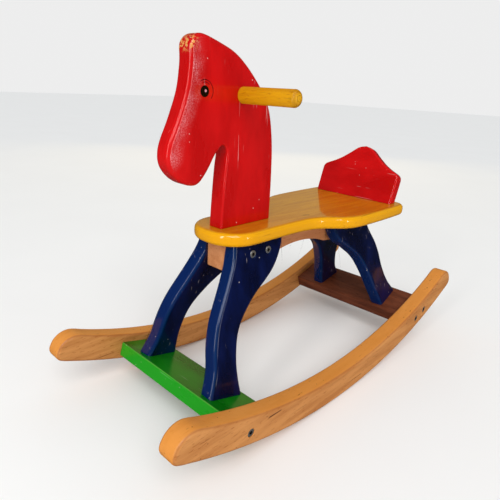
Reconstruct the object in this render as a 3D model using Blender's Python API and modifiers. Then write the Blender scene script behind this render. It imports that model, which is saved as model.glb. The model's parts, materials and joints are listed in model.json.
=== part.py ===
"""Wooden rocking horse for a small child.

The horse faces -Y and +Z is up. X is its width, with its left side at +X, and the two
sides are mirror images. All lengths are in metres. Two bowed runners carry two cross
boards. Four splayed legs stand on the boards and hold a beam between their tops. The
seat lies on the beam, and the flat head and the backrest stand on the seat.
"""

import math

import bmesh
import bpy
from mathutils import Matrix, Vector

GAP = 0.0004  # clearance between two pieces that meet

# Runners: bands of one circle, whose lowest point is a little ahead of their middle.
RUNNER_RADIUS = 0.887
RUNNER_DEPTH = 0.045
RUNNER_THICKNESS = 0.031
RUNNER_OUTER_X = 0.160
RUNNER_INNER_X = RUNNER_OUTER_X - RUNNER_THICKNESS
RUNNER_FRONT = math.radians(-24.15)
RUNNER_REAR = math.radians(27.1)
RUNNER_TOE = 0.013
RUNNER_NOSE_FRONT = 0.030
RUNNER_NOSE_REAR = 0.026
ARC_Y = -0.0205

# Cross boards: planks square to the runners' radius, between the two runners.
BOARD_WIDTH = 0.075
BOARD_THICKNESS = 0.024
BOARD_TOP_RADIUS = 0.8546
BOARD_MID_RADIUS = BOARD_TOP_RADIUS + BOARD_THICKNESS / 2
FRONT_BOARD = math.radians(-14.3)
REAR_BOARD = math.radians(18.0)

# Seat, and the beam under it.
SEAT_TOP = 0.2855
SEAT_THICKNESS = 0.021
SEAT_UNDERSIDE = SEAT_TOP - SEAT_THICKNESS
SEAT_FRONT_Y = -0.200
SEAT_REAR_Y = 0.230
SEAT_FRONT_HALF = 0.0565
SEAT_REAR_HALF = 0.103
BEAM_HALF_WIDTH = 0.021
BEAM_FRONT_Y = -0.175
BEAM_REAR_Y = 0.180
BEAM_BOTTOM = 0.2185
BEAM_TOP = SEAT_UNDERSIDE - GAP
ARCH_HALF = 0.083
ARCH_RISE = 0.015

# Legs: planks that lean outwards by the splay angle.
SPLAY = math.radians(14)
LEG_THICKNESS = 0.026
LEG_FOOT_X = 0.0761
LEG_FOOT_Z = 0.066

# Head, handle and backrest.
HEAD_THICKNESS = 0.0272
HANDLE_RADIUS = 0.010
HANDLE_HALF = 0.1125
HANDLE_Y = -0.1447
HANDLE_Z = 0.4743
BACK_Y = 0.202
BACK_LEAN = math.radians(18)
BACK_HALF = 0.086
BACK_SHOULDER = 0.052
BACK_HEIGHT = 0.101
BACK_THICKNESS = 0.020

# Fasteners.
SHANK_RADIUS = 0.003
SLEEVE_RADIUS = 0.0045
BOLT_HEAD_RADIUS = 0.0062
BOLT_HEAD_HEIGHT = 0.0025
NUT_RADIUS = 0.005
NUT_LENGTH = 0.016
NUT_INSET = 0.020
SCREW_RADIUS = 0.00225
SCREW_HEAD_RADIUS = 0.0045
SCREW_HEAD_HEIGHT = 0.003
PIN_RADIUS = 0.002
DOWEL_RADIUS = 0.004
LEG_BOLT_Z = 0.2465
LEG_BOLTS_Y = (-0.1405, -0.1060, 0.1100, 0.1500)
NECK_BOLTS_Y = (-0.1570, -0.0885)
NECK_NUT_Z = 0.3150
NUT_GRIP = 0.008
LEG_BOLT_LENGTH = 0.068
LEG_SLEEVE_LENGTH = 0.032
LEG_SLEEVE_BORE = 0.022
NECK_BOLT_SUNK = 0.004
FOOT_SCREW_LENGTH = 0.050
SEAT_SCREW_LENGTH = 0.040
SEAT_SCREW_DROP = 0.0255
BACK_SCREW_LENGTH = 0.055
SCREW_SUNK = 0.001
RUNNER_BOLTS = {"front": (-0.017,), "rear": (-0.0165, 0.0165)}
DOWEL_PLACE = 0.017
DOWEL_LENGTH = 0.030
PIN_LENGTH = 0.046
PIN_BELOW = 0.016
PIN_TILT = math.radians(41.3)
OPEN_END = 0.04  # how far a hole or a saw cut runs on outside the wood
SEAT_SCREWS_Y = (-0.030, 0.035)
BACK_SCREW_X = 0.055

FINISHES = {
    "red paint": ((0.50, 0.010, 0.010), 0.25, 0.0),
    "amber lacquer": ((0.72, 0.34, 0.02), 0.28, 0.0),
    "blue paint": ((0.004, 0.020, 0.085), 0.25, 0.0),
    "green paint": ((0.03, 0.32, 0.04), 0.35, 0.0),
    "brown stain": ((0.09, 0.030, 0.012), 0.45, 0.0),
    "oiled beech": ((0.50, 0.20, 0.055), 0.40, 0.0),
    "plain beech": ((0.55, 0.27, 0.11), 0.55, 0.0),
    "ochre stain": ((0.33, 0.15, 0.03), 0.40, 0.0),
    "zinc-plated steel": ((0.62, 0.62, 0.60), 0.30, 1.0),
}


def new_collection(name):
    collection = bpy.data.collections.new(name)
    bpy.context.scene.collection.children.link(collection)
    return collection


def finish(name):
    """The Principled material of this name, made on first use."""
    if name in bpy.data.materials:
        return bpy.data.materials[name]
    colour, roughness, metallic = FINISHES[name]
    material = bpy.data.materials.new(name)
    material.use_nodes = True
    shader = material.node_tree.nodes["Principled BSDF"]
    shader.inputs["Base Color"].default_value = (*colour, 1)
    shader.inputs["Roughness"].default_value = roughness
    shader.inputs["Metallic"].default_value = metallic
    material.diffuse_color = (*colour, 1)
    return material


# Frames: a matrix places each piece, and side is +1 for the left and -1 for the right.


def on_arc(angle, radius, x=0.0):
    """The point at this angle from straight down, seen from the runners' centre."""
    return Vector((x, ARC_Y + radius * math.sin(angle), RUNNER_RADIUS - radius * math.cos(angle)))


def side_view(x=0.0):
    """Local X runs to world Y, local Y to world Z, and local Z to world X."""
    return Matrix.Translation((x, 0, 0)) @ Matrix(
        ((0, 0, 1, 0), (1, 0, 0, 0), (0, 1, 0, 0), (0, 0, 0, 1))
    )


def along(direction, origin):
    """Local Z runs along the direction, from the origin."""
    turn = Vector(direction).to_track_quat("Z", "Y").to_matrix().to_4x4()
    return Matrix.Translation(origin) @ turn


def board_frame(angle, radius=BOARD_MID_RADIUS, x=0.0):
    """Local Y runs rearwards along a cross board, and local Z is square to it."""
    return Matrix.Translation(on_arc(angle, radius, x)) @ Matrix.Rotation(angle, 4, "X")


def leg_frame(side):
    """Local X runs to world Y, and local Y up the leg's own plane."""
    origin = Matrix.Translation((side * LEG_FOOT_X, 0, LEG_FOOT_Z))
    return origin @ Matrix.Rotation(-side * SPLAY, 4, "Y") @ side_view()


# Outlines, as lists of (u, v) points.


def smooth(points, steps):
    """Points along a curve through each given point, with no corners."""
    knots = [Vector(point) for point in points]
    knots = [2 * knots[0] - knots[1], *knots, 2 * knots[-1] - knots[-2]]
    curve = []
    for a, b, c, d in zip(knots, knots[1:], knots[2:], knots[3:]):
        for step in range(steps):
            t = step / steps
            square = (2 * a - 5 * b + 4 * c - d) * t**2
            cube = (3 * b - a - 3 * c + d) * t**3
            curve.append((2 * b + (c - a) * t + square + cube) / 2)
    return [*curve, knots[-2]]


def arc(centre, radius, start, end, steps):
    """Points on a circle, between two angles in degrees."""
    centre = Vector(centre)
    angles = [math.radians(start + (end - start) * i / steps) for i in range(steps + 1)]
    return [centre + radius * Vector((math.cos(a), math.sin(a))) for a in angles]


def rounded_corner(before, corner, after, radius, steps):
    """The points of an arc that takes the place of a corner."""
    corner = Vector(corner)
    back = (Vector(before) - corner).normalized()
    ahead = (Vector(after) - corner).normalized()
    half = back.angle(ahead) / 2
    start = corner + back * (radius / math.tan(half))
    end = corner + ahead * (radius / math.tan(half))
    centre = corner + (back + ahead).normalized() * (radius / math.sin(half))
    sweep = (start - centre).angle_signed(end - centre)
    turns = [Matrix.Rotation(-sweep * i / steps, 2) for i in range(steps + 1)]
    return [centre + turn @ (start - centre) for turn in turns]


def mirrored(half):
    """A closed outline from its half at positive u, which ends on the axis or beside it."""
    return [*half, *((-u, v) for u, v in reversed(half) if u > 1e-6)]


# Making pieces.


def hide_helper(obj):
    obj.hide_render = True
    obj.display_type = "WIRE"
    return obj


def add_object(name, mesh, matrix, finish_name=None):
    """A part with a finish, or a cutter without one."""
    obj = bpy.data.objects.new(name, mesh)
    obj.matrix_world = matrix
    if finish_name is None:
        CUTTERS.objects.link(obj)
        return hide_helper(obj)
    if not mesh.materials:
        mesh.materials.append(finish(finish_name))
    PARTS.objects.link(obj)
    return obj


def evaluated_mesh(obj):
    """The object's mesh with its modifiers applied, or a curve's mesh, as new data."""
    bpy.context.view_layer.update()
    graph = bpy.context.evaluated_depsgraph_get()
    mesh = bpy.data.meshes.new_from_object(obj.evaluated_get(graph))
    mesh.name = obj.name
    bpy.data.objects.remove(obj)
    return mesh


def plank(name, outline, thickness, matrix, finish_name):
    """A flat outline in the local XY plane, thickened both ways along local Z."""
    curve = bpy.data.curves.new(name, "CURVE")
    curve.dimensions = "2D"
    curve.fill_mode = "BOTH"
    curve.extrude = thickness / 2
    spline = curve.splines.new("POLY")
    spline.points.add(len(outline) - 1)
    for point, (u, v) in zip(spline.points, outline):
        point.co = (u, v, 0, 1)
    spline.use_cyclic_u = True
    drawn = bpy.data.objects.new(name, curve)
    CUTTERS.objects.link(drawn)
    mesh = evaluated_mesh(drawn)
    edit = bmesh.new()
    edit.from_mesh(mesh)
    bmesh.ops.remove_doubles(edit, verts=edit.verts, dist=1e-6)
    bmesh.ops.dissolve_limit(
        edit, angle_limit=math.radians(0.2), verts=edit.verts, edges=edit.edges
    )
    bmesh.ops.recalc_face_normals(edit, faces=edit.faces)
    edit.to_mesh(mesh)
    edit.free()
    return add_object(name, mesh, matrix, finish_name)


def box(name, size, matrix, finish_name=None):
    edit = bmesh.new()
    bmesh.ops.create_cube(edit, size=1, matrix=Matrix.Diagonal((*size, 1)))
    mesh = bpy.data.meshes.new(name)
    edit.to_mesh(mesh)
    edit.free()
    return add_object(name, mesh, matrix, finish_name)


def rod_mesh(name, radius, length, sides):
    """A cylinder from the origin along +Z."""
    edit = bmesh.new()
    bmesh.ops.create_cone(
        edit,
        cap_ends=True,
        segments=sides,
        radius1=radius,
        radius2=radius,
        depth=length,
        matrix=Matrix.Translation((0, 0, length / 2)),
    )
    mesh = bpy.data.meshes.new(name)
    edit.to_mesh(mesh)
    edit.free()
    return mesh


def turned_mesh(name, profile, sides, socket_radius=0.0, socket_depth=0.0):
    """A profile of (radius, height) points, top to bottom, turned about Z, and a hex socket in its top."""
    mesh = bpy.data.meshes.new(name)
    corners = [(radius, 0, height) for radius, height in profile]
    mesh.from_pydata(corners, [(i, i + 1) for i in range(len(corners) - 1)], [])
    blank = bpy.data.objects.new(name, mesh)
    CUTTERS.objects.link(blank)
    turning = blank.modifiers.new("Turn", "SCREW")
    turning.steps = sides
    turning.render_steps = sides
    turning.use_merge_vertices = True
    turning.merge_threshold = 0.00001
    if socket_radius:
        lift = Matrix.Translation((0, 0, profile[0][1] - socket_depth))
        socket = rod_mesh(name + "_socket", socket_radius, 2 * socket_depth, 6)
        cut(blank, add_object(name + "_socket", socket, lift))
    return evaluated_mesh(blank)


def soften(obj, radius, segments):
    """Rounds every edge between faces that meet at more than 35 degrees."""
    bevel = obj.modifiers.new("Rounded edges", "BEVEL")
    bevel.width = radius
    bevel.segments = segments
    bevel.limit_method = "ANGLE"
    bevel.angle_limit = math.radians(35)
    return obj


def cut(obj, cutter):
    boolean = obj.modifiers.new(cutter.name, "BOOLEAN")
    boolean.operation = "DIFFERENCE"
    boolean.solver = "EXACT"
    boolean.object = cutter


def bore(pieces, name, radius, length, matrix, sides=12):
    """Drills one hole through all these pieces, from the matrix's origin along its Z."""
    reach = (radius + GAP) / math.cos(math.pi / sides)
    cutter = add_object(name + "_hole", rod_mesh(name + "_hole", reach, length, sides), matrix)
    for piece in pieces:
        cut(piece, cutter)


# The parts.


def make_runner(name, side):
    """A band of a circle, with the top corner of each end well rounded."""
    top_radius = RUNNER_RADIUS - RUNNER_DEPTH
    span = RUNNER_REAR - RUNNER_FRONT
    inset = math.radians(3.0)
    bottom = [on_arc(RUNNER_FRONT + span * i / 26, RUNNER_RADIUS).yz for i in range(1, 26)]
    top_span = span - 2 * inset
    top = [on_arc(RUNNER_REAR - inset - top_span * i / 16, top_radius).yz for i in range(17)]
    ends = []
    for angle in (RUNNER_REAR, RUNNER_FRONT):
        low = on_arc(angle, RUNNER_RADIUS).yz
        high = on_arc(angle, top_radius).yz
        ends.append((low, high))
    (rear_low, rear_high), (front_low, front_high) = ends
    outline = [
        *bottom,
        *rounded_corner(bottom[-1], rear_low, rear_high, RUNNER_TOE, 4),
        *rounded_corner(rear_low, rear_high, top[0], RUNNER_NOSE_REAR, 5),
        *top,
        *rounded_corner(top[-1], front_high, front_low, RUNNER_NOSE_FRONT, 5),
        *rounded_corner(front_high, front_low, bottom[0], RUNNER_TOE, 4),
    ]
    middle = side * (RUNNER_OUTER_X - RUNNER_THICKNESS / 2)
    runner = plank(name, outline, RUNNER_THICKNESS, side_view(middle), "oiled beech")
    return soften(runner, 0.0025, 2)


def make_cross_board(name, angle, finish_name):
    width = 2 * (RUNNER_INNER_X - GAP)
    size = (width, BOARD_WIDTH, BOARD_THICKNESS)
    return soften(box(name, size, board_frame(angle), finish_name), 0.0015, 1)


FRONT_LEG = (
    [(-0.267, 0.045), (-0.260, 0.066), (-0.2465, 0.096), (-0.2390, 0.132), (-0.2255, 0.167),
     (-0.199, 0.210), (-0.181, 0.244), (-0.173, 0.280)],
    [(-0.064, 0.280), (-0.071, 0.247), (-0.098, 0.212), (-0.151, 0.178), (-0.1855, 0.144),
     (-0.199, 0.105), (-0.2015, 0.070), (-0.199, 0.035)],
)
REAR_LEG = (
    [(0.216, 0.045), (0.2145, 0.066), (0.196, 0.103), (0.178, 0.139), (0.152, 0.176),
     (0.117, 0.203), (0.087, 0.224), (0.076, 0.250), (0.074, 0.280)],
    [(0.185, 0.280), (0.192, 0.234), (0.214, 0.199), (0.2260, 0.172), (0.2335, 0.143),
     (0.249, 0.111), (0.271, 0.086), (0.287, 0.070)],
)


def make_leg(name, side, edges, board_angle):
    """A curved plank that leans outwards, cut off at the seat, the board and the beam."""
    front, rear = edges
    outline = [*smooth(front, 3), *smooth(rear, 3)]
    rise = math.cos(SPLAY)
    outline = [(y, (z - LEG_FOOT_Z) / rise) for y, z in outline]
    leg = plank(name, outline, LEG_THICKNESS, leg_frame(side), "blue paint")
    soften(leg, 0.004, 2)
    seat_at = Matrix.Translation((0, 0, SEAT_UNDERSIDE - GAP + OPEN_END))
    cut(leg, box(name + "_top_trim", (1, 1, 2 * OPEN_END), seat_at))
    beam_at = Matrix.Translation((0, 0, (BEAM_TOP + BEAM_BOTTOM) / 2))
    beam_trim = (2 * (BEAM_HALF_WIDTH + GAP), 1, 2 * OPEN_END)
    cut(leg, box(name + "_beam_trim", beam_trim, beam_at))
    foot_at = board_frame(board_angle, BOARD_TOP_RADIUS - GAP + OPEN_END)
    cut(leg, box(name + "_foot_trim", (1, 2 * BOARD_WIDTH, 2 * OPEN_END), foot_at))
    return leg


def make_beam():
    """A straight rail, arched underneath between the legs."""
    middle = (-0.003, BEAM_BOTTOM)
    radius = (ARCH_HALF**2 + ARCH_RISE**2) / (2 * ARCH_RISE)
    spread = math.degrees(math.asin(ARCH_HALF / radius))
    centre = (middle[0], BEAM_BOTTOM + ARCH_RISE - radius)
    outline = [
        (BEAM_FRONT_Y, BEAM_TOP),
        (BEAM_FRONT_Y, BEAM_BOTTOM),
        *arc(centre, radius, 90 + spread, 90 - spread, 10),
        (BEAM_REAR_Y, BEAM_BOTTOM),
        (BEAM_REAR_Y, BEAM_TOP),
    ]
    beam = plank("seat_beam", outline, 2 * BEAM_HALF_WIDTH, side_view(), "plain beech")
    return soften(beam, 0.001, 1)


def make_seat():
    """Narrow and round between the rider's legs, and wide behind them."""
    nose = 0.052
    corner = 0.022
    shoulder = [
        (SEAT_FRONT_HALF, -0.060), (SEAT_FRONT_HALF + 0.0025, -0.022), (0.067, 0.002),
        (0.079, 0.020), (0.091, 0.036), (0.0995, 0.058), (SEAT_REAR_HALF, 0.090),
    ]
    half = [
        (SEAT_FRONT_HALF - nose, SEAT_FRONT_Y),
        *arc((SEAT_FRONT_HALF - nose, SEAT_FRONT_Y + nose), nose, -81, 0, 8),
        *smooth(shoulder, 3),
        *arc((SEAT_REAR_HALF - corner, SEAT_REAR_Y - corner), corner, 0, 90, 5),
    ]
    middle = Matrix.Translation((0, 0, SEAT_TOP - SEAT_THICKNESS / 2))
    seat = plank("seat", mirrored(half), SEAT_THICKNESS, middle, "amber lacquer")
    return soften(seat, 0.007, 2)


HEAD_OUTLINE = [
    (-0.1805, 0.262), (-0.1800, 0.286), (-0.1775, 0.329), (-0.1740, 0.372), (-0.1715, 0.397),
    (-0.1790, 0.4075), (-0.1895, 0.399), (-0.2080, 0.371), (-0.2268, 0.3555), (-0.2540, 0.363),
    (-0.2725, 0.383), (-0.2735, 0.408), (-0.2585, 0.442), (-0.2445, 0.478), (-0.2390, 0.512),
    (-0.2380, 0.535), (-0.2210, 0.5460), (-0.1876, 0.5385), (-0.1532, 0.5250),
    (-0.1165, 0.4952), (-0.0885, 0.458), (-0.0770, 0.408), (-0.0735, 0.350), (-0.0732, 0.286),
    (-0.0732, 0.262),
]


def make_head():
    """A flat horse's head and neck, with a slot between the jaw and the neck."""
    outline = smooth(HEAD_OUTLINE, 3)
    head = plank("head", outline, HEAD_THICKNESS, side_view(), "red paint")
    soften(head, 0.006, 2)
    at = Matrix.Translation((0, 0, SEAT_TOP + GAP - OPEN_END))
    cut(head, box("head_foot_trim", (1, 1, 2 * OPEN_END), at))
    return head


def make_handle():
    """A dowel through the head, with rounded ends."""
    edge = 0.003
    corner = arc((HANDLE_RADIUS - edge, HANDLE_HALF - edge), edge, 90, 0, 2)
    profile = [(0, HANDLE_HALF), *corner]
    profile += [(radius, -height) for radius, height in reversed(profile)]
    mesh = turned_mesh("handle", profile, 22)
    return add_object("handle", mesh, along((1, 0, 0), (0, HANDLE_Y, HANDLE_Z)), "ochre stain")


def back_frame():
    """Local X is world X, local Y runs up the leaning backrest, and its middle is at local Z 0."""
    foot = Matrix.Translation((0, BACK_Y, SEAT_TOP))
    return foot @ Matrix.Rotation(math.pi / 2 - BACK_LEAN, 4, "X")


def make_backrest():
    """A low board with round shoulders and a wavy crown, leaning back."""
    crown = [
        (0.062, BACK_SHOULDER + 0.0125), (0.047, BACK_HEIGHT - 0.028),
        (0.030, BACK_HEIGHT - 0.0155), (0.015, BACK_HEIGHT - 0.004), (0, BACK_HEIGHT),
    ]
    shoulder = (BACK_HALF, BACK_SHOULDER + 0.0015)
    half = [
        (BACK_HALF, -0.03),
        *rounded_corner((BACK_HALF, -0.03), shoulder, crown[0], 0.012, 5),
        *smooth(crown, 4),
    ]
    back = plank("backrest", mirrored(half), BACK_THICKNESS, back_frame(), "red paint")
    soften(back, 0.0035, 2)
    at = Matrix.Translation((0, 0, SEAT_TOP + GAP - OPEN_END))
    cut(back, box("backrest_foot_trim", (1, 1, 2 * OPEN_END), at))
    return back


# The fasteners. Each kind has one mesh, and each copy is an object of its own.


def bolt_mesh(name, length):
    """A flat-headed bolt: the top of its head is at the origin, and its shank runs down -Z."""
    edge = 0.0008
    profile = [
        (0, 0), (BOLT_HEAD_RADIUS - edge, 0), (BOLT_HEAD_RADIUS, -edge),
        (BOLT_HEAD_RADIUS, -BOLT_HEAD_HEIGHT), (SHANK_RADIUS, -BOLT_HEAD_HEIGHT),
        (SHANK_RADIUS, -length), (0, -length),
    ]
    return turned_mesh(name, profile, 12, 0.0024, 0.0016)


def sleeve_mesh(length, bore_depth):
    """A sleeve nut: a bolt's head on a tube that takes the bolt's end."""
    edge = 0.0008
    inside = SHANK_RADIUS + GAP
    profile = [
        (0, 0), (BOLT_HEAD_RADIUS - edge, 0), (BOLT_HEAD_RADIUS, -edge),
        (BOLT_HEAD_RADIUS, -BOLT_HEAD_HEIGHT), (SLEEVE_RADIUS, -BOLT_HEAD_HEIGHT),
        (SLEEVE_RADIUS, -length), (inside, -length), (inside, bore_depth - length),
        (0, bore_depth - length),
    ]
    return turned_mesh("sleeve_nut", profile, 12, 0.0024, 0.0016)


def screw_mesh(name, length):
    """A countersunk wood screw with a point."""
    tip = 0.005
    profile = [
        (0, 0), (SCREW_HEAD_RADIUS, 0), (SCREW_HEAD_RADIUS, -0.0006),
        (SCREW_RADIUS, -SCREW_HEAD_HEIGHT), (SCREW_RADIUS, tip - length), (0, -length),
    ]
    return turned_mesh(name, profile, 10, 0.0018, 0.0012)


def barrel_nut_mesh():
    """A cross dowel of steel, along Z and centred, with its hole along X."""
    blank = add_object(
        "barrel_nut_blank",
        rod_mesh("barrel_nut_blank", NUT_RADIUS, NUT_LENGTH, 12),
        Matrix.Translation((0, 0, -NUT_LENGTH / 2)),
    )
    blank.data.transform(blank.matrix_world)
    blank.matrix_world = Matrix.Identity(4)
    through = along((1, 0, 0), (-2 * NUT_RADIUS, 0, 0))
    bore([blank], "barrel_nut_blank", SHANK_RADIUS, 4 * NUT_RADIUS, through)
    return evaluated_mesh(blank)


def headed_hole(pieces, name, radius, head_radius, head_height, length, frame, slack=0.002):
    """Bores the shank's hole, and a pocket for the head that starts outside the wood."""
    down = frame @ Matrix.Rotation(math.pi, 4, "X")
    bore(pieces, name, radius, length + slack, down)
    pocket = down @ Matrix.Translation((0, 0, -OPEN_END))
    bore(pieces[:1], name + "_head", head_radius, OPEN_END + head_height + GAP, pocket, 14)


def add_runner_joints(runners, boards, bolt, nut):
    """At each end of each board: bolts with barrel nuts, and one dowel in front."""
    tilts = {"front": FRONT_BOARD, "rear": REAR_BOARD}
    dowel = rod_mesh("dowel", DOWEL_RADIUS, DOWEL_LENGTH, 12)
    for side, side_name in SIDES:
        runner = runners[side_name]
        for board_name, angle in tilts.items():
            board = boards[board_name]
            for number, place in enumerate(RUNNER_BOLTS[board_name], 1):
                label = f"{board_name}_{side_name}_{number}"
                base = board_frame(angle) @ Matrix.Translation((0, place, 0))
                outer = base @ Vector((side * (RUNNER_OUTER_X - GAP), 0, 0))
                frame = along((side, 0, 0), outer)
                add_object(f"runner_bolt_{label}", bolt, frame, "zinc-plated steel")
                headed_hole(
                    [runner, board], f"runner_bolt_{label}", SHANK_RADIUS, BOLT_HEAD_RADIUS,
                    BOLT_HEAD_HEIGHT, RUNNER_BOLT_LENGTH, frame,
                )
                in_board = Matrix.Translation((side * (RUNNER_INNER_X - NUT_INSET), 0, 0))
                nut_at = base @ in_board
                add_object(f"barrel_nut_{label}", nut, nut_at, "zinc-plated steel")
                hole = nut_at @ Matrix.Rotation(math.pi, 4, "X")
                hole = hole @ Matrix.Translation((0, 0, -NUT_LENGTH / 2 - GAP))
                bore([board], f"barrel_nut_{label}", NUT_RADIUS, OPEN_END, hole)
        base = board_frame(FRONT_BOARD) @ Matrix.Translation((0, DOWEL_PLACE, 0))
        start = base @ Vector((side * (RUNNER_INNER_X - DOWEL_LENGTH / 2), 0, 0))
        frame = along((side, 0, 0), start)
        add_object(f"runner_dowel_{side_name}", dowel, frame, "plain beech")
        hole = frame @ Matrix.Translation((0, 0, -GAP))
        pieces = [runner, boards["front"]]
        bore(pieces, f"runner_dowel_{side_name}", DOWEL_RADIUS, DOWEL_LENGTH + 2 * GAP, hole)


def leg_outer_x(z):
    """Where the outer face of a leg is at this height."""
    return LEG_FOOT_X + LEG_THICKNESS / 2 / math.cos(SPLAY) - (z - LEG_FOOT_Z) * math.tan(SPLAY)


def add_leg_bolts(legs, beam):
    """Bolts across the beam, each with its head in one leg and its sleeve nut in the other."""
    head_x = leg_outer_x(LEG_BOLT_Z)
    bolt = bolt_mesh("leg_bolt", LEG_BOLT_LENGTH)
    sleeve = sleeve_mesh(LEG_SLEEVE_LENGTH, LEG_SLEEVE_BORE)
    for number, y in enumerate(LEG_BOLTS_Y, 1):
        pair = "front" if y < 0 else "rear"
        left = along((1, 0, 0), (head_x, y, LEG_BOLT_Z))
        right = along((-1, 0, 0), (-head_x, y, LEG_BOLT_Z))
        add_object(f"leg_bolt_{number}", bolt, left, "zinc-plated steel")
        add_object(f"leg_sleeve_nut_{number}", sleeve, right, "zinc-plated steel")
        headed_hole(
            [legs[pair, "left"]], f"leg_bolt_{number}", SHANK_RADIUS, BOLT_HEAD_RADIUS,
            BOLT_HEAD_HEIGHT, OPEN_END, left,
        )
        headed_hole(
            [legs[pair, "right"], beam], f"leg_sleeve_nut_{number}", SLEEVE_RADIUS,
            BOLT_HEAD_RADIUS, BOLT_HEAD_HEIGHT, head_x + BEAM_HALF_WIDTH, right,
        )


def add_foot_screws(legs, boards):
    """One screw up through the board into each foot, leaning inwards with the leg."""
    screw = screw_mesh("foot_screw", FOOT_SCREW_LENGTH)
    for pair, angle in (("front", FRONT_BOARD), ("rear", REAR_BOARD)):
        for side, side_name in SIDES:
            lean = Vector((-side * math.tan(SPLAY), -math.sin(angle), math.cos(angle)))
            foot = on_arc(angle, BOARD_TOP_RADIUS, side * LEG_FOOT_X)
            frame = along(-lean, foot - (BOARD_THICKNESS - SCREW_SUNK) * lean)
            name = f"foot_screw_{pair}_{side_name}"
            add_object(name, screw, frame, "zinc-plated steel")
            headed_hole(
                [boards[pair], legs[pair, side_name]], name, SCREW_RADIUS,
                SCREW_HEAD_RADIUS, SCREW_HEAD_HEIGHT, FOOT_SCREW_LENGTH, frame,
            )


def add_neck_bolts(beam, seat, head, nut):
    """Bolts up through the beam and the seat, to barrel nuts in the neck's right side."""
    start_z = BEAM_BOTTOM + NECK_BOLT_SUNK
    length = NECK_NUT_Z + NUT_GRIP - start_z
    bolt = bolt_mesh("neck_bolt", length)
    for number, y in enumerate(NECK_BOLTS_Y, 1):
        frame = along((0, 0, -1), (0, y, start_z))
        add_object(f"neck_bolt_{number}", bolt, frame, "zinc-plated steel")
        headed_hole(
            [beam, seat, head], f"neck_bolt_{number}", SHANK_RADIUS, BOLT_HEAD_RADIUS,
            BOLT_HEAD_HEIGHT, length, frame,
        )
        # The nut's own hole is along its local X, which here points up the bolt.
        turn = Matrix(((0, 0, 1, 0), (0, 1, 0, 0), (-1, 0, 0, 0), (0, 0, 0, 1)))
        nut_at = Matrix.Translation((0, y, NECK_NUT_Z)) @ turn
        add_object(f"neck_barrel_nut_{number}", nut, nut_at, "zinc-plated steel")
        hole = along((-1, 0, 0), (NUT_LENGTH / 2 + GAP, y, NECK_NUT_Z))
        bore([head], f"neck_barrel_nut_{number}", NUT_RADIUS, OPEN_END, hole)


def add_seat_screws(beam, seat):
    """Screws up through the arched part of the beam into the seat."""
    screw = screw_mesh("seat_screw", SEAT_SCREW_LENGTH)
    for number, y in enumerate(SEAT_SCREWS_Y, 1):
        frame = along((0, 0, -1), (0, y, SEAT_UNDERSIDE - SEAT_SCREW_DROP))
        add_object(f"seat_screw_{number}", screw, frame, "zinc-plated steel")
        headed_hole(
            [beam, seat], f"seat_screw_{number}", SCREW_RADIUS, SCREW_HEAD_RADIUS,
            SCREW_HEAD_HEIGHT, SEAT_SCREW_LENGTH, frame,
        )


def add_back_screws(seat, back):
    """Screws up through the seat, in line with the leaning backrest."""
    screw = screw_mesh("back_screw", BACK_SCREW_LENGTH)
    for side, side_name in SIDES:
        drop = SEAT_THICKNESS - SCREW_SUNK
        start = (side * BACK_SCREW_X, BACK_Y - drop * math.tan(BACK_LEAN), SEAT_TOP - drop)
        frame = along((0, -math.sin(BACK_LEAN), -math.cos(BACK_LEAN)), start)
        name = f"back_screw_{side_name}"
        add_object(name, screw, frame, "zinc-plated steel")
        headed_hole(
            [seat, back], name, SCREW_RADIUS, SCREW_HEAD_RADIUS, SCREW_HEAD_HEIGHT,
            BACK_SCREW_LENGTH, frame,
        )


def add_handle_pin(head, handle):
    """A thin pin from the crest of the neck through the handle, which it locks."""
    upward = Vector((0, math.sin(PIN_TILT), math.cos(PIN_TILT)))
    centre = Vector((0, HANDLE_Y, HANDLE_Z))
    frame = along(upward, centre - PIN_BELOW * upward)
    pin = rod_mesh("handle_pin", PIN_RADIUS, PIN_LENGTH, 12)
    add_object("handle_pin", pin, frame, "zinc-plated steel")
    hole = frame @ Matrix.Translation((0, 0, -GAP))
    bore([head, handle], "handle_pin", PIN_RADIUS, PIN_LENGTH + OPEN_END, hole)


for old in list(bpy.data.objects):
    bpy.data.objects.remove(old)
PARTS = new_collection("rocking horse")
CUTTERS = new_collection("cutters")
SIDES = ((1, "left"), (-1, "right"))
RUNNER_BOLT_LENGTH = RUNNER_THICKNESS + NUT_INSET + NUT_GRIP

all_runners = {name: make_runner(f"runner_{name}", side) for side, name in SIDES}
all_boards = {
    "front": make_cross_board("front_cross_board", FRONT_BOARD, "green paint"),
    "rear": make_cross_board("rear_cross_board", REAR_BOARD, "brown stain"),
}
all_legs = {}
for leg_side, leg_name in SIDES:
    all_legs["front", leg_name] = make_leg(f"front_leg_{leg_name}", leg_side, FRONT_LEG, FRONT_BOARD)
    all_legs["rear", leg_name] = make_leg(f"rear_leg_{leg_name}", leg_side, REAR_LEG, REAR_BOARD)
seat_beam = make_beam()
the_seat = make_seat()
the_head = make_head()
the_handle = make_handle()
the_backrest = make_backrest()
handle_hole = along((1, 0, 0), (-OPEN_END, HANDLE_Y, HANDLE_Z))
bore([the_head], "handle", HANDLE_RADIUS, 2 * OPEN_END, handle_hole, 22)

barrel_nut = barrel_nut_mesh()
runner_bolt = bolt_mesh("runner_bolt", RUNNER_BOLT_LENGTH)
add_runner_joints(all_runners, all_boards, runner_bolt, barrel_nut)
add_leg_bolts(all_legs, seat_beam)
add_foot_screws(all_legs, all_boards)
add_neck_bolts(seat_beam, the_seat, the_head, barrel_nut)
add_seat_screws(seat_beam, the_seat)
add_back_screws(the_seat, the_backrest)
add_handle_pin(the_head, the_handle)

for part in PARTS.objects:
    part.data.shade_smooth()
    part.data.set_sharp_from_angle(angle=math.radians(35))
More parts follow.
